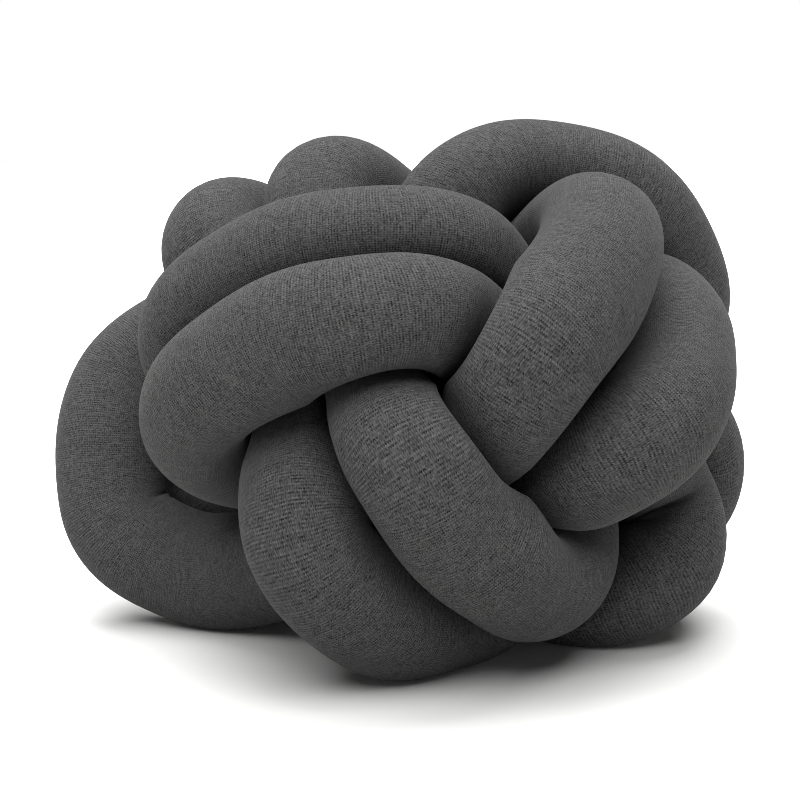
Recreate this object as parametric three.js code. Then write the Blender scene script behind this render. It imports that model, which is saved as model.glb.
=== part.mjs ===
// A pouf made of one long stuffed tube of knit, tied on itself into a ball.
// Millimetres. X is to the right, Y away from the viewer, Z up, and the floor is Z = 0.
import * as THREE from 'three';

// Driving dimensions.
const TUBE_WIDTH = 105;      // across the stuffed tube where nothing presses on it
const LEAN_DEG = 8;          // the knot is laid out upright, then rolled this far back onto its lobes
const FLOOR_DROP = 222;      // from the middle of the knot down to the floor
const REST_HEIGHT = 47;      // lowest the middle of the tube sinks above the floor
const PRESS_WIDTH = 78;      // nearest that the middles of two stretches are pressed together
const SETTLE_STEPS = 60;
const CREASE_GAP = 3.2;      // between two stretches that touch
const MOST_BULGE = 1.10;     // how far a squeezed tube swells on its free sides
const ROUNDNESS = 8;         // higher gives flatter pressed sides with tighter edges

const STATIONS = 640;        // even steps along the middle of the tube
const RING_STEP = 2;         // one ring of the skin for every second station
const LOOKS = 54;            // directions looked in from each station
const LOOK_STEP = 3;         // one corner of a ring for every third direction
const SPLINE_STEPS = 24;     // short steps between two laid-out points

// The lie of the tube's middle, stretch by stretch: right, away and up from the middle of the knot.
// Three loops go round twice each, and the third comes over the top once more. `hold` is how
// firmly a stretch keeps to its laid-out place while the knot settles: the outer bands are pulled
// tight, and what runs under them gives way. A point's fourth number is how full the tube is there,
// next to its usual width.
const stretches = [
  { name: 'first end, tucked inside', hold: 0.1, points: [
    [-65, 70, -25], [-100, 85, -25],
  ] },
  { name: 'upper left band in front, back strand', hold: 0.6, points: [
    [-135, 70, 5], [-163, 28, 40], [-152, -25, 73], [-108, -65, 103], [-55, -90, 117],
    [0, -92, 120], [58, -65, 106],
  ] },
  { name: 'under the upper right band, then right and behind', hold: 0.3, points: [
    [115, -5, 65], [180, 50, 20], [242, 100, -20], [266, 122, -68], [238, 158, -114],
    [160, 187, -145], [70, 185, -125], [-15, 150, -95], [-75, 100, -75],
  ] },
  { name: 'upper left band in front, front strand', hold: 0.6, points: [
    [-117, 35, -50], [-151, -26, -28], [-156, -82, -6], [-128, -125, 21, 1.05],
    [-83, -152, 48], [-35, -165, 59, 0.95], [18, -147, 63, 0.94], [72, -92, 44, 0.95],
  ] },
  { name: 'under the upper right band, then the lobe at lower right', hold: 0.3, points: [
    [130, -30, 10], [188, 22, -33], [227, 60, -81], [238, 50, -129], [206, 35, -157],
    [150, 54, -169], [84, 98, -151],
  ] },
  { name: 'through the middle', hold: 0.1, points: [
    [25, 95, -105], [5, 55, -50], [40, 65, 0], [105, 95, 55],
  ] },
  { name: 'upper right band in front, outer strand', hold: 0.6, points: [
    [172, 72, 84], [222, 16, 71], [232, -32, 39], [224, -70, 4], [203, -97, -21, 1.02],
    [167, -102, -43, 1.02], [122, -72, -71],
  ] },
  { name: 'under the lower band, then up behind on the left', hold: 0.2, points: [
    [72, -25, -105], [10, 15, -127], [-55, 70, -145], [-115, 125, -145], [-174, 165, -98],
    [-188, 190, -38], [-140, 198, 30], [-65, 165, 75], [10, 115, 108], [75, 65, 125],
  ] },
  { name: 'upper right band in front, inner strand', hold: 0.6, points: [
    [137, 15, 133], [166, -48, 137], [149, -113, 93, 1.04], [117, -148, 53, 1.08],
    [93, -155, 24, 1.06], [72, -138, -9], [46, -100, -47],
  ] },
  { name: 'under the lower band, then the big lobe on the left', hold: 0.4, points: [
    [5, -35, -88], [-55, 15, -122], [-118, 76, -148], [-184, 106, -154], [-244, 116, -130],
    [-268, 124, -89], [-271, 132, -38], [-263, 146, 5], [-228, 160, 43], [-172, 168, 68],
  ] },
  { name: 'through the middle again', hold: 0.1, points: [
    [-105, 125, 72], [-42, 78, 52], [5, 30, 65], [28, 8, 100],
  ] },
  { name: 'arch at upper right', hold: 0.6, points: [
    [42, 20, 145], [80, 42, 183], [130, 62, 196], [191, 72, 185], [234, 98, 144],
    [254, 132, 86], [212, 170, 35], [180, 145, -20],
  ] },
  { name: 'lower band in front, inner strand', hold: 0.6, points: [
    [150, 72, -60], [140, 14, -107], [122, -42, -135], [93, -88, -135, 1.06],
    [64, -138, -116, 1.06], [37, -162, -89, 1.03], [18, -175, -57], [0, -160, -27],
    [-13, -110, 6],
  ] },
  { name: 'over the top behind, right strand', hold: 0.6, points: [
    [-38, -55, 45], [-60, -5, 98], [-74, 35, 144, 1.03], [-63, 72, 181, 1.04],
    [-27, 125, 172, 1.03], [20, 170, 124], [72, 190, 58], [105, 162, -25],
  ] },
  { name: 'lower band in front, outer strand', hold: 0.6, points: [
    [90, 100, -88], [85, 52, -142], [54, 0, -168], [17, -50, -180], [-14, -88, -176],
    [-45, -120, -150], [-68, -135, -120], [-76, -128, -84], [-82, -96, -44],
  ] },
  { name: 'over the top behind, left strand', hold: 0.6, points: [
    [-98, -42, 5], [-120, 10, 62], [-148, 45, 107], [-161, 85, 145], [-133, 145, 145],
    [-80, 200, 102], [-20, 210, 45], [20, 178, -28],
  ] },
  { name: 'last end, tucked inside', hold: 0.1, points: [
    [30, 130, -60],
  ] },
];

// The laid-out points, rolled back and lifted onto the floor.
function laidOutPoints() {
  const lean = THREE.MathUtils.degToRad(LEAN_DEG);
  const points = [];
  for (const stretch of stretches) {
    for (const [right, away, up] of stretch.points) {
      const y = away * Math.cos(lean) + up * Math.sin(lean);
      const z = up * Math.cos(lean) - away * Math.sin(lean) + FLOOR_DROP;
      points.push(new THREE.Vector3(right, y, z));
    }
  }
  return points;
}

// A smooth curve through every point: a cubic B-spline whose handles are moved
// until the curve passes through the points themselves.
function smoothCurve(points) {
  const last = points.length - 1;
  const handles = points.map((p) => p.clone());
  const handle = (i) => {
    if (i < 0) return handles[0].clone().multiplyScalar(2).sub(handles[1]);
    if (i > last) return handles[last].clone().multiplyScalar(2).sub(handles[last - 1]);
    return handles[i];
  };
  for (let pass = 0; pass < 60; pass += 1) {
    const misses = points.map((p, i) => {
      const onCurve = handle(i - 1).clone().add(handle(i + 1)).addScaledVector(handle(i), 4);
      return p.clone().sub(onCurve.divideScalar(6));
    });
    misses.forEach((miss, i) => handles[i].add(miss));
  }
  const curve = [];
  for (let i = 0; i < last; i += 1) {
    for (let step = 0; step < SPLINE_STEPS; step += 1) {
      const t = step / SPLINE_STEPS;
      const at = new THREE.Vector3();
      at.addScaledVector(handle(i - 1), (1 - t) ** 3 / 6);
      at.addScaledVector(handle(i), (3 * t ** 3 - 6 * t ** 2 + 4) / 6);
      at.addScaledVector(handle(i + 1), (-3 * t ** 3 + 3 * t ** 2 + 3 * t + 1) / 6);
      at.addScaledVector(handle(i + 2), t ** 3 / 6);
      curve.push(at);
    }
  }
  curve.push(points[last].clone());
  return curve;
}

// The same curve in even steps, and between which of the curve's points each step lies.
function evenSteps(curve, count) {
  const travelled = [0];
  for (let i = 1; i < curve.length; i += 1) {
    travelled.push(travelled[i - 1] + curve[i].distanceTo(curve[i - 1]));
  }
  const total = travelled[curve.length - 1];
  const stations = [];
  const origins = [];
  let i = 1;
  for (let k = 0; k < count; k += 1) {
    const wanted = (total * k) / (count - 1);
    while (i < curve.length - 1 && travelled[i] < wanted) i += 1;
    const share = Math.min((wanted - travelled[i - 1]) / (travelled[i] - travelled[i - 1]), 1);
    stations.push(curve[i - 1].clone().lerp(curve[i], share));
    origins.push(i - 1 + share);
  }
  return { stations, origins, stepLength: total / (count - 1) };
}

// A value given for each laid-out point, at each station between them.
function valuesAlong(values, origins) {
  return origins.map((origin) => {
    const before = Math.min(Math.floor(origin / SPLINE_STEPS), values.length - 2);
    return THREE.MathUtils.lerp(values[before], values[before + 1], origin / SPLINE_STEPS - before);
  });
}

// Blends each entry with its two neighbours, the ends held.
function blendNeighbours(list) {
  const before = list.map((v) => v.clone());
  for (let i = 1; i < list.length - 1; i += 1) {
    list[i].multiplyScalar(0.5).addScaledVector(before[i - 1], 0.25).addScaledVector(before[i + 1], 0.25);
  }
}

// Lets the knot settle: stretches that lie too close push each other apart, the floor holds
// the lowest up, and every station is drawn back to where it was laid out. The stuffed tube is
// stiff, so each shift is shared with its neighbours.
function settle(laidOut, holds, stepLength) {
  const shifts = laidOut.map(() => new THREE.Vector3());
  const ownReach = Math.floor((1.6 * TUBE_WIDTH) / stepLength);
  const shifted = () => laidOut.map((p, i) => p.clone().add(shifts[i]));
  const apart = new THREE.Vector3();
  for (let step = 0; step < SETTLE_STEPS; step += 1) {
    const stations = shifted();
    const moves = stations.map((p, i) => {
      const push = new THREE.Vector3();
      let closeness = 0;
      for (let j = 0; j < stations.length; j += 1) {
        if (Math.abs(i - j) < ownReach) continue;
        apart.subVectors(p, stations[j]);
        const distance = apart.length();
        if (distance >= PRESS_WIDTH) continue;
        const overlap = PRESS_WIDTH - distance;
        push.addScaledVector(apart, (overlap * overlap) / distance);
        closeness += overlap;
      }
      if (closeness > 0) push.multiplyScalar(0.5 / closeness);
      push.z += 0.5 * Math.max(0, REST_HEIGHT - p.z);
      return push.addScaledVector(shifts[i], -holds[i]);
    });
    for (let pass = 0; pass < 6; pass += 1) blendNeighbours(moves);
    shifts.forEach((shift, i) => shift.add(moves[i]));
    blendNeighbours(shifts);
  }
  return evenSteps(shifted(), laidOut.length);
}

// Directions square to the tube at each station, carried along without twisting.
function carriedFrames(stations) {
  const last = stations.length - 1;
  const frames = [];
  let side = null;
  for (let i = 0; i <= last; i += 1) {
    const ahead = stations[Math.min(i + 1, last)].clone().sub(stations[Math.max(i - 1, 0)]).normalize();
    if (side === null) side = ahead.clone().cross(new THREE.Vector3(0, 0, 1));
    else side = side.clone().addScaledVector(ahead, -side.dot(ahead));
    side.normalize();
    frames.push({ side, other: ahead.clone().cross(side) });
  }
  return frames;
}

// How far a point on the skin can go in one direction before it is nearer to another
// station's middle than to its own: this is where two pressed stretches share a flat side.
function reachBeforeNeighbour(stations, i, direction) {
  const from = stations[i];
  let reach = 1e9;
  for (let j = 0; j < stations.length; j += 1) {
    if (j === i) continue;
    const dx = stations[j].x - from.x;
    const dy = stations[j].y - from.y;
    const dz = stations[j].z - from.z;
    const along = dx * direction.x + dy * direction.y + dz * direction.z;
    if (along <= 1e-6) continue;
    reach = Math.min(reach, (dx * dx + dy * dy + dz * dz) / (2 * along));
  }
  return Math.max(reach - CREASE_GAP / 2, 8);
}

// The skin's distance from the middle at each station, in each direction.
function skinRadii(stations, fullness, stepLength) {
  const frames = carriedFrames(stations);
  const looks = [];
  for (let k = 0; k < LOOKS; k += 1) {
    const turn = (2 * Math.PI * k) / LOOKS;
    looks.push({ across: Math.cos(turn), over: Math.sin(turn) });
  }
  const rings = stations.map((middle, i) => {
    const { side, other } = frames[i];
    const directions = looks.map(({ across, over }) => (
      side.clone().multiplyScalar(across).addScaledVector(other, over)));
    const fromEnd = Math.min(i, stations.length - 1 - i) * stepLength;
    const roundEnd = 1 - Math.min(fromEnd / (TUBE_WIDTH / 2), 1);
    const taper = Math.sqrt(Math.max(1 - roundEnd * roundEnd, 0.0004));
    const reaches = directions.map((direction) => reachBeforeNeighbour(stations, i, direction));
    const full = (TUBE_WIDTH / 2) * fullness[i];
    return { middle, directions, reaches, taper, full, free: full };
  });
  const meet = (free, reach) => (free ** -ROUNDNESS + reach ** -ROUNDNESS) ** (-1 / ROUNDNESS);

  // The knit keeps its girth: where its sides are pressed flat, the rest swells.
  for (let round = 0; round < 3; round += 1) {
    for (const ring of rings) {
      const radii = ring.reaches.map((reach) => meet(ring.free * ring.taper, reach));
      const corners = radii.map((r, k) => ring.directions[k].clone().multiplyScalar(r));
      let girth = 0;
      corners.forEach((corner, k) => { girth += corner.distanceTo(corners[(k + 1) % LOOKS]); });
      girth /= ring.taper < 1 ? ring.taper : 1;
      const swell = ((2 * Math.PI * ring.full) / girth) ** 0.7;
      ring.free = Math.min(Math.max(ring.free * swell, ring.full), ring.full * MOST_BULGE);
    }
    for (let pass = 0; pass < 10; pass += 1) {
      const before = rings.map((ring) => ring.free);
      for (let i = 1; i < rings.length - 1; i += 1) {
        rings[i].free = 0.25 * before[i - 1] + 0.5 * before[i] + 0.25 * before[i + 1];
      }
    }
  }
  for (const ring of rings) {
    ring.radii = ring.reaches.map((reach) => meet(ring.free * ring.taper, reach));
  }
  return rings;
}

// A point of the skin. What would go below the floor stops on it, so the tube rests on flat spots.
function skinPoint(ring, k) {
  const direction = ring.directions[k];
  let radius = ring.radii[k];
  let onFloor = false;
  if (direction.z < 0 && ring.middle.z + direction.z * radius < 0) {
    radius = ring.middle.z / -direction.z;
    onFloor = true;
  }
  const point = ring.middle.clone().addScaledVector(direction, radius);
  if (onFloor) point.z = 0;
  return point;
}

function knottedTube() {
  const laidOut = evenSteps(smoothCurve(laidOutPoints()), STATIONS);
  const holds = stretches.flatMap(({ hold, points }) => points.map(() => hold));
  const fullnesses = stretches.flatMap(({ points }) => points.map(([,,, fullness = 1]) => fullness));
  const settled = settle(laidOut.stations, valuesAlong(holds, laidOut.origins), laidOut.stepLength);
  const fullness = valuesAlong(fullnesses, laidOut.origins);
  const rings = skinRadii(settled.stations, fullness, settled.stepLength);
  const kept = rings.filter((ring, i) => i % RING_STEP === 0 || i === rings.length - 1);
  const sides = LOOKS / LOOK_STEP;

  const positions = [];
  for (const ring of kept) {
    for (let side = 0; side < sides; side += 1) {
      positions.push(...skinPoint(ring, side * LOOK_STEP).toArray());
    }
  }
  const firstTip = positions.length / 3;
  positions.push(...kept[0].middle.toArray());
  const lastTip = firstTip + 1;
  positions.push(...kept[kept.length - 1].middle.toArray());

  const corners = [];
  for (let row = 0; row < kept.length - 1; row += 1) {
    for (let side = 0; side < sides; side += 1) {
      const next = (side + 1) % sides;
      const a = row * sides + side;
      const b = row * sides + next;
      const c = (row + 1) * sides + next;
      const d = (row + 1) * sides + side;
      corners.push(a, b, c, a, c, d);
    }
  }
  const lastRow = (kept.length - 1) * sides;
  for (let side = 0; side < sides; side += 1) {
    const next = (side + 1) % sides;
    corners.push(firstTip, next, side);
    corners.push(lastTip, lastRow + side, lastRow + next);
  }

  const geometry = new THREE.BufferGeometry();
  geometry.setAttribute('position', new THREE.Float32BufferAttribute(positions, 3));
  geometry.setIndex(corners);

  // The origin is on the floor, under the middle of the knot's outline seen from above.
  geometry.computeBoundingBox();
  const outline = geometry.boundingBox;
  geometry.translate(-(outline.min.x + outline.max.x) / 2, -(outline.min.y + outline.max.y) / 2, 0);
  geometry.computeVertexNormals();
  return geometry;
}

const darkKnit = new THREE.MeshStandardMaterial({ name: 'dark_knit', color: 0x3d3d3e, roughness: 0.95 });
const tube = new THREE.Mesh(knottedTube(), darkKnit);
tube.name = 'knotted_tube';

const pouf = new THREE.Group();
pouf.name = 'knot_pouf';
pouf.add(tube);

export default pouf;
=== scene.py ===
# A pouf made of one long stuffed tube of dark grey knit, tied on itself into a ball.
# The scene is in metres. The tube is laid out in millimetres and turned to metres at the end.
import math

import bpy
import numpy as np
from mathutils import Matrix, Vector


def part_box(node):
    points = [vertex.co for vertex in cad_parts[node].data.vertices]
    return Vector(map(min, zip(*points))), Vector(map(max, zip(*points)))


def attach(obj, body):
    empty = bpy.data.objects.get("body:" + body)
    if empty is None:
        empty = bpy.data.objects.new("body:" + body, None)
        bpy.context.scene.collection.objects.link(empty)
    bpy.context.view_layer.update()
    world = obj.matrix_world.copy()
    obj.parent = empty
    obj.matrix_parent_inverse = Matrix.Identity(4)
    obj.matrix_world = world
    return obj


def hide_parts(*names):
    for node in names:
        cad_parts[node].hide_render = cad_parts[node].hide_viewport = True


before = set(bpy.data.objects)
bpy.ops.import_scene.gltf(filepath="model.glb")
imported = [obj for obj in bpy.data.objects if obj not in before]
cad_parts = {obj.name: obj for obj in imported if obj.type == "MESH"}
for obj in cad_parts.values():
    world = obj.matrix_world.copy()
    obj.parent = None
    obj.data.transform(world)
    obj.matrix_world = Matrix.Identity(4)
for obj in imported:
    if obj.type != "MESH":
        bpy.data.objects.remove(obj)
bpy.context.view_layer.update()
scene = bpy.context.scene

# The photograph's view: a long lens, a little above the pouf, looking at the middle of the knot.
photo = {
    "lens": 85.0,  # mm
    "sensor": 36.0,  # mm across
    "distance": 1.655,  # from what it looks at
    "elevation": 8.0,  # degrees above the floor
    "aim": (0.0012, -0.0232, 0.222),
    "filterWidth": 0.9,  # pixels; narrow, because the photograph shows the knit crisp
}

cameraData = bpy.data.cameras.new("photoCamera")
cameraData.lens = photo["lens"]
cameraData.sensor_width = photo["sensor"]
camera = bpy.data.objects.new("photoCamera", cameraData)
scene.collection.objects.link(camera)
rise = math.radians(photo["elevation"])
back = Vector((0.0, -math.cos(rise), math.sin(rise)))
camera.location = Vector(photo["aim"]) + back * photo["distance"]
camera.rotation_euler = (-back).to_track_quat("-Z", "Y").to_euler()
scene.camera = camera
scene.view_settings.view_transform = "Standard"
scene.cycles.filter_width = photo["filterWidth"]
print("camera set")


def linearColour(hexCode):
    # sRGB hex to linear: the sRGB curve undone, channel by channel
    channels = [int(hexCode[i:i + 2], 16) / 255 for i in (1, 3, 5)]
    linear = [c / 12.92 if c <= 0.04045 else ((c + 0.055) / 1.055) ** 2.4 for c in channels]
    return (*linear, 1.0)


def addNode(tree, kind, inputs=(), **settings):
    # one node and its settings. Its inputs come by name or in order, and each is a value, the
    # output that feeds it, or a node whose first output does.
    node = tree.nodes.new(kind)
    for name, value in settings.items():
        setattr(node, name, value)
    for name, value in inputs.items() if isinstance(inputs, dict) else enumerate(inputs):
        if isinstance(value, bpy.types.Node):
            value = value.outputs[0]
        if isinstance(value, bpy.types.NodeSocket):
            tree.links.new(value, node.inputs[name])
        else:
            node.inputs[name].default_value = value
    return node


# Studio: a white backdrop all round, the dark of the room above it, and two wide softboxes. The
# one overhead hangs a little behind the pouf and lights the tops of the strands, the other fills
# their fronts. The board is pale and comes out overexposed, as the white does in the photograph,
# and its light also reaches the lobes from below.
studio = {
    "floorSize": 60.0,
    "floorColour": "#cdcdcc",
    "backdrop": 1.0,  # brightness of the white near the horizon
    "room": 0.0,  # and of the room above it
    "backdropTop": (0.14, 0.34),  # sine of the heights between which the one gives way to the other
    # name, watts for each square metre, degrees that it spans, direction in which it stands
    "softboxes": [
        ("overheadSoftbox", 5.7, 60.0, (0.0, 0.4, 1.0)),
        ("frontSoftbox", 4.7, 56.0, (-0.15, -0.55, 1.0)),
    ],
}


def paintedFloor(colour):
    # Matt painted board, rolled: even and without gloss, so that nothing is mirrored in it.
    material = bpy.data.materials.new("mattPaintedBoard")
    material.use_nodes = True
    shader = material.node_tree.nodes["Principled BSDF"]
    shader.inputs["Base Color"].default_value = linearColour(colour)
    shader.inputs["Roughness"].default_value = 0.9
    shader.inputs["Specular IOR Level"].default_value = 0.1
    return material


half = studio["floorSize"] / 2
floorCorners = [(-half, -half, 0), (half, -half, 0), (half, half, 0), (-half, half, 0)]
floorMesh = bpy.data.meshes.new("floor")
floorMesh.from_pydata(floorCorners, [], [(0, 1, 2, 3)])
floorMesh.materials.append(paintedFloor(studio["floorColour"]))
floor = bpy.data.objects.new("floor", floorMesh)
scene.collection.objects.link(floor)

world = bpy.data.worlds.new("whiteBackdrop")
world.use_nodes = True
worldTree = world.node_tree
direction = addNode(worldTree, "ShaderNodeTexCoord").outputs["Generated"]
height = addNode(worldTree, "ShaderNodeSeparateXYZ", {"Vector": direction}).outputs["Z"]
fadeStart, fadeEnd = studio["backdropTop"]
brightness = addNode(worldTree, "ShaderNodeMapRange", {
    "Value": height, "From Min": fadeStart, "From Max": fadeEnd,
    "To Min": studio["backdrop"], "To Max": studio["room"],
}, interpolation_type="SMOOTHSTEP").outputs[0]
background = worldTree.nodes["Background"]
background.inputs["Color"].default_value = (1.0, 1.0, 1.0, 1.0)
worldTree.links.new(brightness, background.inputs["Strength"])
scene.world = world

for name, watts, span, stand in studio["softboxes"]:
    softData = bpy.data.lights.new(name, "SUN")
    softData.energy = watts
    softData.angle = math.radians(span)
    softbox = bpy.data.objects.new(name, softData)
    softbox.rotation_euler = Vector(stand).to_track_quat("Z", "Y").to_euler()
    scene.collection.objects.link(softbox)
print("studio set")


# The tube, in millimetres. Its lie is given stretch by stretch: right, away and up from the
# middle of the knot. Three loops go round twice each, and the third comes over the top once more.
# The outer bands are pulled tight and hold their place; what runs under them gives way. A point's
# fourth number is how full the tube is there, next to its usual width.
tube = {
    "width": 105.0,  # where nothing presses on it
    "lean": 8.0,  # degrees that the knot is rolled back onto its lobes
    "floorDrop": 222.0,  # from the middle of the knot down to the floor
    "restHeight": 47.0,  # lowest the middle of the tube sinks above the floor
    "pressWidth": 78.0,  # nearest that the middles of two stretches are pressed together
    "ownReach": 1.6,  # tube widths along the tube within which it doesn't press on itself
    "stiffness": 6,  # times that a push is shared with the stations next to it
    "settleSteps": 60,  # rounds of pressing and giving way
    "stations": 640,  # even steps along the tube while it settles
    "creaseGap": 1.0,  # between two stretches that touch
    "leastReach": 8.0,  # nearest that a neighbour presses the skin to the tube's middle
    "mostBulge": 1.10,  # how far a squeezed tube swells on its free sides
    "roundness": 5.0,  # higher gives flatter pressed sides with tighter edges
    "tip": 0.02,  # share of the radius left at the very ends, which a fan closes
    "floorEdge": 4.0,  # the soft edge of a flat spot on the floor, measured along the radius
    "rings": 1480,  # of the finished skin, each with this many sides
    "sides": 66,
    "lumps": 0.7,  # soft unevenness of the filling, in height
    "lumpSize": 95.0,  # from one lump to the next, about
    "wrinkles": 1.5,  # height of the gathers at the inside of a tight bend
    "wrinkleWidth": 26.0,  # of knit taken up by one gather
    "wrinkleStray": 0.8,  # how far gathers stray from even spacing, in widths of one
    "wrinkleBends": (0.35, 0.85),  # tube radius over bend radius where gathers start, and are full
    "stretches": [  # name, how firmly it holds its laid-out place, and its points
        ("first end, tucked inside", 0.1, [
            (-65, 70, -25), (-100, 85, -25),
        ]),
        ("upper left band in front, back strand", 0.6, [
            (-135, 70, 5), (-163, 28, 40), (-152, -25, 73), (-108, -65, 103), (-55, -90, 117),
            (0, -92, 120), (58, -65, 106),
        ]),
        ("under the upper right band, then right and behind", 0.3, [
            (115, -5, 65), (180, 50, 20), (242, 100, -20), (266, 122, -68), (238, 158, -114),
            (160, 187, -145), (70, 185, -125), (-15, 150, -95), (-75, 100, -75),
        ]),
        ("upper left band in front, front strand", 0.6, [
            (-117, 35, -50), (-151, -26, -28), (-156, -82, -6), (-128, -125, 21, 1.05),
            (-83, -152, 48), (-35, -165, 59, 0.95), (18, -147, 63, 0.94), (72, -92, 44, 0.95),
        ]),
        ("under the upper right band, then the lobe at lower right", 0.3, [
            (130, -30, 10), (188, 22, -33), (227, 60, -81), (238, 50, -129), (206, 35, -157),
            (150, 54, -169), (84, 98, -151),
        ]),
        ("through the middle", 0.1, [
            (25, 95, -105), (5, 55, -50), (40, 65, 0), (105, 95, 55),
        ]),
        ("upper right band in front, outer strand", 0.6, [
            (172, 72, 84), (222, 16, 71), (232, -32, 39), (224, -70, 4), (203, -97, -21, 1.02),
            (167, -102, -43, 1.02), (122, -72, -71),
        ]),
        ("under the lower band, then up behind on the left", 0.2, [
            (72, -25, -105), (10, 15, -127), (-55, 70, -145), (-115, 125, -145),
            (-174, 165, -98), (-188, 190, -38), (-140, 198, 30), (-65, 165, 75),
            (10, 115, 108), (75, 65, 125),
        ]),
        ("upper right band in front, inner strand", 0.6, [
            (137, 15, 133), (166, -48, 137), (149, -113, 93, 1.04), (117, -148, 53, 1.08),
            (93, -155, 24, 1.06), (72, -138, -9), (46, -100, -47),
        ]),
        ("under the lower band, then the big lobe on the left", 0.4, [
            (5, -35, -88), (-55, 15, -122), (-118, 76, -148), (-184, 106, -154),
            (-244, 116, -130), (-268, 124, -89), (-271, 132, -38), (-263, 146, 5),
            (-228, 160, 43), (-172, 168, 68),
        ]),
        ("through the middle again", 0.1, [
            (-105, 125, 72), (-42, 78, 52), (5, 30, 65), (28, 8, 100),
        ]),
        ("arch at upper right", 0.6, [
            (42, 20, 145), (80, 42, 183), (130, 62, 196), (191, 72, 185), (234, 98, 144),
            (254, 132, 86), (212, 170, 35), (180, 145, -20),
        ]),
        ("lower band in front, inner strand", 0.6, [
            (150, 72, -60), (140, 14, -107), (122, -42, -135), (93, -88, -135, 1.06),
            (64, -138, -116, 1.06), (37, -162, -89, 1.03), (18, -175, -57), (0, -160, -27),
            (-13, -110, 6),
        ]),
        ("over the top behind, right strand", 0.6, [
            (-38, -55, 45), (-60, -5, 98), (-74, 35, 144, 1.03), (-63, 72, 181, 1.04),
            (-27, 125, 172, 1.03), (20, 170, 124), (72, 190, 58), (105, 162, -25),
        ]),
        ("lower band in front, outer strand", 0.6, [
            (90, 100, -88), (85, 52, -142), (54, 0, -168), (17, -50, -180), (-14, -88, -176),
            (-45, -120, -150), (-68, -135, -120), (-76, -128, -84), (-82, -96, -44),
        ]),
        ("over the top behind, left strand", 0.6, [
            (-98, -42, 5), (-120, 10, 62), (-148, 45, 107), (-161, 85, 145), (-133, 145, 145),
            (-80, 200, 102), (-20, 210, 45), (20, 178, -28),
        ]),
        ("last end, tucked inside", 0.1, [
            (30, 130, -60),
        ]),
    ],
}


def rolledBack(points):
    # right stays; away and up turn by the lean about the knot's middle, which is then lifted
    lean = math.radians(tube["lean"])
    right, away, up = np.array([point[:3] for point in points], float).T
    return np.stack([
        right,
        away * math.cos(lean) + up * math.sin(lean),
        up * math.cos(lean) - away * math.sin(lean) + tube["floorDrop"],
    ], 1)


def smoothCurve(points, steps):
    # cubic B-spline; its handles are moved by what it misses until it passes through the points
    def withEnds(h):
        return np.vstack([2 * h[0] - h[1], h, 2 * h[-1] - h[-2]])
    corrections = 60  # enough to miss by far less than a micrometre
    handles = points.copy()
    for _ in range(corrections):
        h = withEnds(handles)
        handles += points - (h[:-2] + 4 * h[1:-1] + h[2:]) / 6
    h = withEnds(handles)
    t = (np.arange(steps) / steps)[None, :, None]
    spans = (
        (1 - t) ** 3 * h[:-3, None] + (3 * t ** 3 - 6 * t ** 2 + 4) * h[1:-2, None]
        + (-3 * t ** 3 + 3 * t ** 2 + 3 * t + 1) * h[2:-1, None] + t ** 3 * h[3:, None]
    ) / 6
    return np.vstack([spans.reshape(-1, points.shape[1]), points[-1:]])


def evenSteps(curve, count):
    # the same curve at equal distances along itself, and that distance; further columns come along
    travelled = np.r_[0, np.cumsum(np.linalg.norm(np.diff(curve[:, :3], axis=0), axis=1))]
    wanted = np.linspace(0, travelled[-1], count)
    return np.stack([np.interp(wanted, travelled, column) for column in curve.T], 1), wanted[1]


def blended(values, passes):
    # each entry becomes half itself and a quarter of each neighbour, the ends held
    values = values.copy()
    for _ in range(passes):
        values[1:-1] = 0.25 * values[:-2] + 0.5 * values[1:-1] + 0.25 * values[2:]
    return values


def settled(laidOut, hold, step):
    # stretches nearer than the press width push apart, the floor lifts, and the hold draws back
    # to the laid-out place; the stuffed tube is stiff, so each push is shared with its neighbours
    order = np.arange(len(laidOut))
    sameStretch = np.abs(order[:, None] - order[None]) < int(tube["ownReach"] * tube["width"] / step)
    give = 0.5  # share of an overlap that each of the two makes up in one round
    tiny = 1e-9  # stands for nothing where it divides
    shift = np.zeros_like(laidOut)
    for _ in range(tube["settleSteps"]):
        stations = laidOut + shift
        apart = stations[:, None] - stations[None]
        distance = np.linalg.norm(apart, axis=2) + tiny
        overlap = np.where(sameStretch, 0, np.maximum(0, tube["pressWidth"] - distance))
        closeness = np.maximum(overlap.sum(1), tiny)
        push = give * ((overlap ** 2 / distance)[:, :, None] * apart).sum(1) / closeness[:, None]
        push[:, 2] += give * np.maximum(0, tube["restHeight"] - stations[:, 2])
        shift = blended(shift + blended(push - hold * shift, tube["stiffness"]), 1)
    return laidOut + shift


def carriedSides(stations):
    # two directions square to the tube at each station, carried along it without twisting
    ahead = np.gradient(stations, axis=0)
    ahead /= np.linalg.norm(ahead, axis=1, keepdims=True)
    sides = np.zeros_like(stations)
    side = np.cross(ahead[0], (0.0, 0.0, 1.0))
    for i, forward in enumerate(ahead):
        side = side - forward * side.dot(forward)
        side /= np.linalg.norm(side)
        sides[i] = side
    return sides, np.cross(ahead, sides)


def reachToNeighbours(stations, looks):
    # in each direction, where a point gets as near to another station as to its own:
    # the squared distance between the two over twice its part along the direction
    block = 40  # rings at a time, so that the arrays stay small
    tiny = 1e-6
    far = 1e9  # where nothing is in the way
    reach = np.empty(looks.shape[:2])
    for start in range(0, len(stations), block):
        some = slice(start, start + block)
        away = stations[None] - stations[some, None]
        squared = (away ** 2).sum(2)
        along = np.einsum("rsk,rnk->rsn", looks[some], away)
        halfway = squared[:, None] / (2 * np.maximum(along, tiny))
        reach[some] = np.where(along > tiny, halfway, far).min(2)
    return np.maximum(reach - tube["creaseGap"] / 2, tube["leastReach"])


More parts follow.
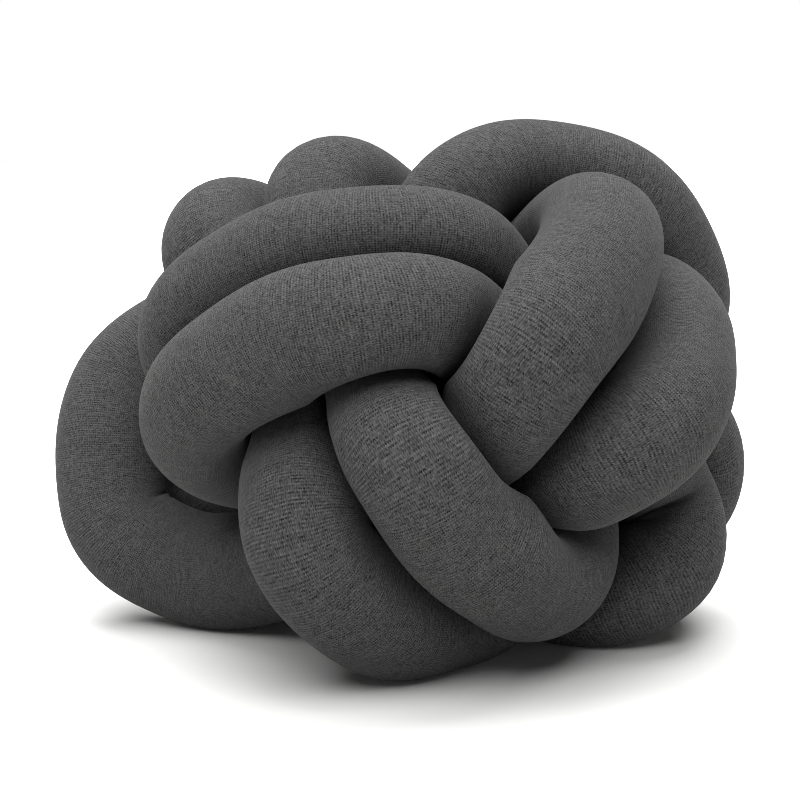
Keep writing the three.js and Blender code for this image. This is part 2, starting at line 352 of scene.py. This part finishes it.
def meet(free, reach):
    # a smooth lower bound of the two: the power mean with a high negative power
    return (free ** -tube["roundness"] + reach ** -tube["roundness"]) ** (-1 / tube["roundness"])


def skinRadii(stations, fullness, step, looks):
    # each radius is where the round tube and the reach to its neighbours meet. A ring keeps its
    # girth, so it swells where its sides are pressed flat, and the two ends are half balls.
    count = len(stations)
    radius = tube["width"] / 2
    reach = reachToNeighbours(stations, looks)
    fromEnd = np.minimum(np.arange(count), count - 1 - np.arange(count)) * step
    taper = np.sqrt(np.maximum(1 - (1 - np.minimum(fromEnd / radius, 1)) ** 2, tube["tip"] ** 2))
    full = free = radius * fullness
    corrections = 3
    caution = 0.7  # a power under 1 keeps a correction from going too far
    blends = round(10 * (count / tube["stations"]) ** 2)  # the same length of tube for any count
    for _ in range(corrections):
        corners = meet((free * taper)[:, None], reach)[:, :, None] * looks
        girth = np.linalg.norm(corners - np.roll(corners, -1, axis=1), axis=2).sum(1) / taper
        swell = (2 * math.pi * full / girth) ** caution
        free = blended(np.clip(free * swell, full, full * tube["mostBulge"]), blends)
    return meet((free * taper)[:, None], reach), taper


def unevenness(place, scale, seed):
    # a smooth field of hills: sines of the place in turned directions with seeded phases, about -1 to 1
    random = np.random.default_rng(seed)
    waves = 9
    field = np.zeros(place.shape[:-1])
    for _ in range(waves):
        direction = random.normal(size=3)
        direction /= np.linalg.norm(direction) * scale * random.uniform(0.7, 1.4)
        field += np.sin(2 * math.pi * place @ direction + random.uniform(0, 2 * math.pi))
    return field / math.sqrt(waves)


def smoothStep(values, low, high):
    # 0 below low, 1 above high, and a smooth step between
    t = np.clip((values - low) / (high - low), 0, 1)
    return t * t * (3 - 2 * t)


def middleLine():
    # the table's points rolled back, joined by a smooth curve, settled, and cut into even rings;
    # the hold and the fullness come along as further columns
    points = [point for _, _, stretch in tube["stretches"] for point in stretch]
    values = [
        (hold, *(point[3:] or (1.0,)))
        for _, hold, stretch in tube["stretches"] for point in stretch
    ]
    stepsBetween = 24  # of the smooth curve, from one point of the table to the next
    curve = smoothCurve(rolledBack(points), stepsBetween)
    between = np.arange(len(curve)) / stepsBetween
    valuesAlong = [np.interp(between, np.arange(len(values)), column) for column in np.array(values).T]
    laidOut, step = evenSteps(np.column_stack([curve, *valuesAlong]), tube["stations"])
    stations = settled(laidOut[:, :3], laidOut[:, 3:4], step)
    stations, step = evenSteps(np.column_stack([stations, laidOut[:, 4]]), tube["stations"])
    print("tube settled, length in metres:", round(step * (tube["stations"] - 1) / 1000, 2))
    finer = 6  # steps of the smooth curve from one station to the next
    middles, step = evenSteps(smoothCurve(stations, finer), tube["rings"])
    return middles[:, :3], middles[:, 3], step


def softRelief(middles, looks, radii, step):
    # height of the gathers, which are sines along the tube cut into the inside of its tight bends,
    # and of the lumps of the filling. Both take away and hardly add, so touching stretches stay apart.
    evened = 12  # passes that keep single rings from showing in the bend
    bend = blended(np.gradient(np.gradient(middles, axis=0), axis=0) / step ** 2, evened)
    radiusOverBend = np.einsum("rsk,rk->rs", looks, bend) * radii
    along = step * np.arange(tube["rings"])
    stray = tube["wrinkleStray"] * unevenness(middles[:, None] + 30 * looks, 90.0, seed=4)
    gathers = np.sin(2 * math.pi * (along[:, None] / tube["wrinkleWidth"] + stray))
    gathers *= smoothStep(radiusOverBend, *tube["wrinkleBends"])
    depth = 0.6 + 0.4 * unevenness(middles, 60.0, seed=5)  # some gathers are deeper than others
    gathers *= depth[:, None]
    lumps = unevenness(middles[:, None] + radii[:, :, None] * looks, tube["lumpSize"], seed=6)
    return tube["wrinkles"] * (gathers - np.abs(gathers)) + tube["lumps"] * (lumps - 1)


def knottedTubeSkin():
    # rings of points square to the tube's middle line, each point at its radius in its direction
    middles, fullness, step = middleLine()
    sides, others = carriedSides(middles)
    turn = 2 * math.pi * np.arange(tube["sides"]) / tube["sides"]
    looks = np.cos(turn)[None, :, None] * sides[:, None] + np.sin(turn)[None, :, None] * others[:, None]
    radii, taper = skinRadii(middles, fullness, step, looks)
    radii = radii + taper[:, None] * softRelief(middles, looks, radii, step)

    # the floor flattens the lowest sides: no radius goes past the floor, and each flat spot has a
    # soft edge, where the radii are up to a millimetre shorter
    tiny = 1e-3
    far = 1e9  # where a direction never meets the floor
    down = -looks[:, :, 2]
    toFloor = np.where(down > tiny, middles[:, 2:3] / np.maximum(down, tiny), far)
    edge = np.clip(1 - np.abs(radii - toFloor) / tube["floorEdge"], 0, 1)
    radii = np.minimum(radii, toFloor) - edge ** 2
    points = middles[:, None] + radii[:, :, None] * looks
    points[..., 2] = np.maximum(points[..., 2], 0)
    return middles, points, step * np.arange(tube["rings"]), turn


def tubeMesh(name):
    # the skin as quads between neighbouring rings, and a fan of triangles at each tip
    middles, points, along, turn = knottedTubeSkin()
    rings, sides = points.shape[:2]
    vertices = np.vstack([points.reshape(-1, 3), middles[[0, -1]]]) / 1000

    # seen from above, the skin's middle comes over the solid's
    low, high = np.array(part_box("knotted_tube"))
    vertices[:, :2] += ((low + high) / 2 - (vertices.min(0) + vertices.max(0)) / 2)[:2]

    ring, side = np.mgrid[:rings - 1, :sides]
    after = (side + 1) % sides
    quads = np.stack([
        ring * sides + side, ring * sides + after,
        (ring + 1) * sides + after, (ring + 1) * sides + side,
    ], 2).reshape(-1, 4)
    side = np.arange(sides)
    after = (side + 1) % sides
    tip = rings * sides
    lastRing = (rings - 1) * sides
    firstFan = np.stack([np.full(sides, tip), after, side], 1)
    lastFan = np.stack([np.full(sides, tip + 1), lastRing + side, lastRing + after], 1)
    mesh = bpy.data.meshes.new(name)
    mesh.from_pydata(vertices.tolist(), [], quads.tolist() + firstFan.tolist() + lastFan.tolist())
    mesh.shade_smooth()

    # each point's place on the straightened tube, in metres: along it, and round it as a circle
    radius = tube["width"] / 2 / 1000
    place = np.empty((len(vertices), 3))
    place[:-2, 0] = np.repeat(along / 1000, sides)
    place[:-2, 1] = radius * np.tile(np.cos(turn), rings)
    place[:-2, 2] = radius * np.tile(np.sin(turn), rings)
    place[-2:] = [(0, 0, 0), (along[-1] / 1000, 0, 0)]
    mesh.attributes.new("tubePlace", "FLOAT_VECTOR", "POINT").data.foreach_set("vector", place.ravel())
    return mesh


# The knit. Its sizes are real ones in millimetres, and each share is of the way from dark to light.
knit = {
    "dark": "#0a0a0a",
    "light": "#555555",
    "course": 1.7,  # height of one row of stitches, which run round the tube
    "wales": 184,  # columns of stitches round the tube: 1.8 mm each
    "rowSlant": 0.25,  # rows that a stitch's two sides slant by
    "wanders": 30.0,  # times in each metre that rows and columns wander off and back
    "rowWander": 3.0,  # how far rows stray from their line
    "columnWander": 0.04,  # and columns from theirs, in radians round the tube
    "strands": 2,  # of yarn side by side in each row
    "speckles": 2,  # short pieces of strand in each stitch, every one with its own grey
    "speckleShare": 0.42,  # how far the grey differs from one such piece to the next
    "streak": 12.0,  # length of a paler stretch of the heathered yarn
    "streakShare": 0.19,  # how much paler it is
    "strandStride": 3.7,  # from strand to strand in the noise, so that no two are alike
    "stitchShare": 0.23,  # how far the grey falls between rows
    "ribShare": 0.14,  # and between columns
    "relief": 0.3,  # depth between stitches, and the parts that make it up
    "rowHeight": 0.5,
    "ribHeight": 0.6,
    "heatherHeight": 0.5,
}


def heatheredJersey():
    # Fine jersey knit of heathered yarn, machine knitted as a tube and stretched over the filling.
    # It gives the eye a matt dark grey, finely speckled, with short paler runs that go round the
    # tube, small rows and columns of stitches close by, and barely a pale edge where fibres stand up.
    material = bpy.data.materials.new("heatheredJerseyKnit")
    material.use_nodes = True
    tree = material.node_tree
    shader = tree.nodes["Principled BSDF"]

    place = addNode(tree, "ShaderNodeAttribute", attribute_name="tubePlace").outputs["Vector"]
    parts = addNode(tree, "ShaderNodeSeparateXYZ", [place]).outputs

    # rows and columns wander a little, as on a tube stuffed by hand
    wander = addNode(tree, "ShaderNodeTexNoise", {
        "Vector": place, "Scale": knit["wanders"], "Detail": 1.0})
    along = addNode(tree, "ShaderNodeMath", [
        wander, knit["rowWander"] / 1000, parts["X"]], operation="MULTIPLY_ADD")
    aroundTube = addNode(tree, "ShaderNodeMath", [parts["Z"], parts["Y"]], operation="ARCTAN2")
    angle = addNode(tree, "ShaderNodeMath", [
        wander, knit["columnWander"], aroundTube], operation="MULTIPLY_ADD")

    # across a column of stitches: 0 in its middle, where it stands highest, and 1 between two
    column = addNode(tree, "ShaderNodeMath", [angle, knit["wales"] / (2 * math.pi)], operation="MULTIPLY")
    withinColumn = addNode(tree, "ShaderNodeMath", [column], operation="FRACT")
    fromMiddle = addNode(tree, "ShaderNodeMath", [withinColumn, 2.0, -1.0], operation="MULTIPLY_ADD")
    across = addNode(tree, "ShaderNodeMath", [fromMiddle], operation="ABSOLUTE")
    ribAngle = addNode(tree, "ShaderNodeMath", [across, math.pi], operation="MULTIPLY")
    ribCosine = addNode(tree, "ShaderNodeMath", [ribAngle], operation="COSINE")
    ribs = addNode(tree, "ShaderNodeMath", [ribCosine, 0.5, 0.5], operation="MULTIPLY_ADD")

    # the rows slant on both sides of a column's middle, which makes the V of each stitch
    straightRow = addNode(tree, "ShaderNodeMath", [along, 1000 / knit["course"]], operation="MULTIPLY")
    row = addNode(tree, "ShaderNodeMath", [
        across, knit["rowSlant"], straightRow], operation="MULTIPLY_ADD")
    rowAngle = addNode(tree, "ShaderNodeMath", [row, 2 * math.pi], operation="MULTIPLY")
    rowSine = addNode(tree, "ShaderNodeMath", [rowAngle], operation="SINE")
    rounds = addNode(tree, "ShaderNodeMath", [rowSine, 0.5, 0.5], operation="MULTIPLY_ADD")

    # heathered yarn: every short piece of strand has its own grey
    strandCount = addNode(tree, "ShaderNodeMath", [row, knit["strands"]], operation="MULTIPLY")
    strand = addNode(tree, "ShaderNodeMath", [strandCount], operation="FLOOR")
    pieceCount = addNode(tree, "ShaderNodeMath", [column, knit["speckles"]], operation="MULTIPLY")
    piece = addNode(tree, "ShaderNodeMath", [pieceCount], operation="FLOOR")
    piecePlace = addNode(tree, "ShaderNodeCombineXYZ", [strand, piece])
    speckle = addNode(tree, "ShaderNodeTexWhiteNoise", {"Vector": piecePlace}, noise_dimensions="2D")
    speckled = addNode(tree, "ShaderNodeMath", [speckle, knit["speckleShare"]], operation="MULTIPLY")

    # and a paler length of strand shows as a thin streak round the tube
    strandPlace = addNode(tree, "ShaderNodeMath", [strand, knit["strandStride"]], operation="MULTIPLY")
    streakY = addNode(tree, "ShaderNodeMath", [parts["Y"], 1000 / knit["streak"]], operation="MULTIPLY")
    streakZ = addNode(tree, "ShaderNodeMath", [parts["Z"], 1000 / knit["streak"]], operation="MULTIPLY")
    yarnPlace = addNode(tree, "ShaderNodeCombineXYZ", [strandPlace, streakY, streakZ])
    yarn = addNode(tree, "ShaderNodeTexNoise", {
        "Vector": yarnPlace, "Scale": 1.0, "Detail": 2.0, "Roughness": 0.5})
    streaks = addNode(tree, "ShaderNodeMapRange", {
        "Value": yarn, "From Min": 0.4, "From Max": 0.8, "To Min": -0.3, "To Max": 1.0})
    heather = addNode(tree, "ShaderNodeMath", [
        streaks, knit["streakShare"], speckled], operation="MULTIPLY_ADD")

    # the grey falls between columns and between rows
    ribbed = addNode(tree, "ShaderNodeMath", [ribs, knit["ribShare"]], operation="MULTIPLY")
    stitches = addNode(tree, "ShaderNodeMath", [
        rounds, knit["stitchShare"], ribbed], operation="MULTIPLY_ADD")
    share = addNode(tree, "ShaderNodeMath", [stitches, heather], operation="ADD")
    colour = addNode(tree, "ShaderNodeMix", {
        "Factor": share, "A": linearColour(knit["dark"]), "B": linearColour(knit["light"]),
    }, data_type="RGBA").outputs["Result"]
    tree.links.new(colour, shader.inputs["Base Color"])

    # what is paler also stands up: the middles of rows and columns, and the paler pieces
    ribHeight = addNode(tree, "ShaderNodeMath", [ribs, knit["ribHeight"]], operation="MULTIPLY")
    stitchHeight = addNode(tree, "ShaderNodeMath", [
        rounds, knit["rowHeight"], ribHeight], operation="MULTIPLY_ADD")
    height = addNode(tree, "ShaderNodeMath", [
        heather, knit["heatherHeight"], stitchHeight], operation="MULTIPLY_ADD")
    bump = addNode(tree, "ShaderNodeBump", {
        "Strength": 0.5, "Distance": knit["relief"] / 1000, "Height": height,
    }).outputs["Normal"]
    tree.links.new(bump, shader.inputs["Normal"])
    shader.inputs["Roughness"].default_value = 0.95
    shader.inputs["Specular IOR Level"].default_value = 0.15
    shader.inputs["Sheen Weight"].default_value = 0.04
    shader.inputs["Sheen Roughness"].default_value = 0.45
    shader.inputs["Sheen Tint"].default_value = linearColour("#d8d8d6")
    return material


knitMesh = tubeMesh("knottedTube")
knitMesh.materials.append(heatheredJersey())
knottedTube = bpy.data.objects.new("knottedTube", knitMesh)
scene.collection.objects.link(knottedTube)
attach(knottedTube, "root")
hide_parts("knotted_tube")
print("tube made:", len(knitMesh.vertices), "points")
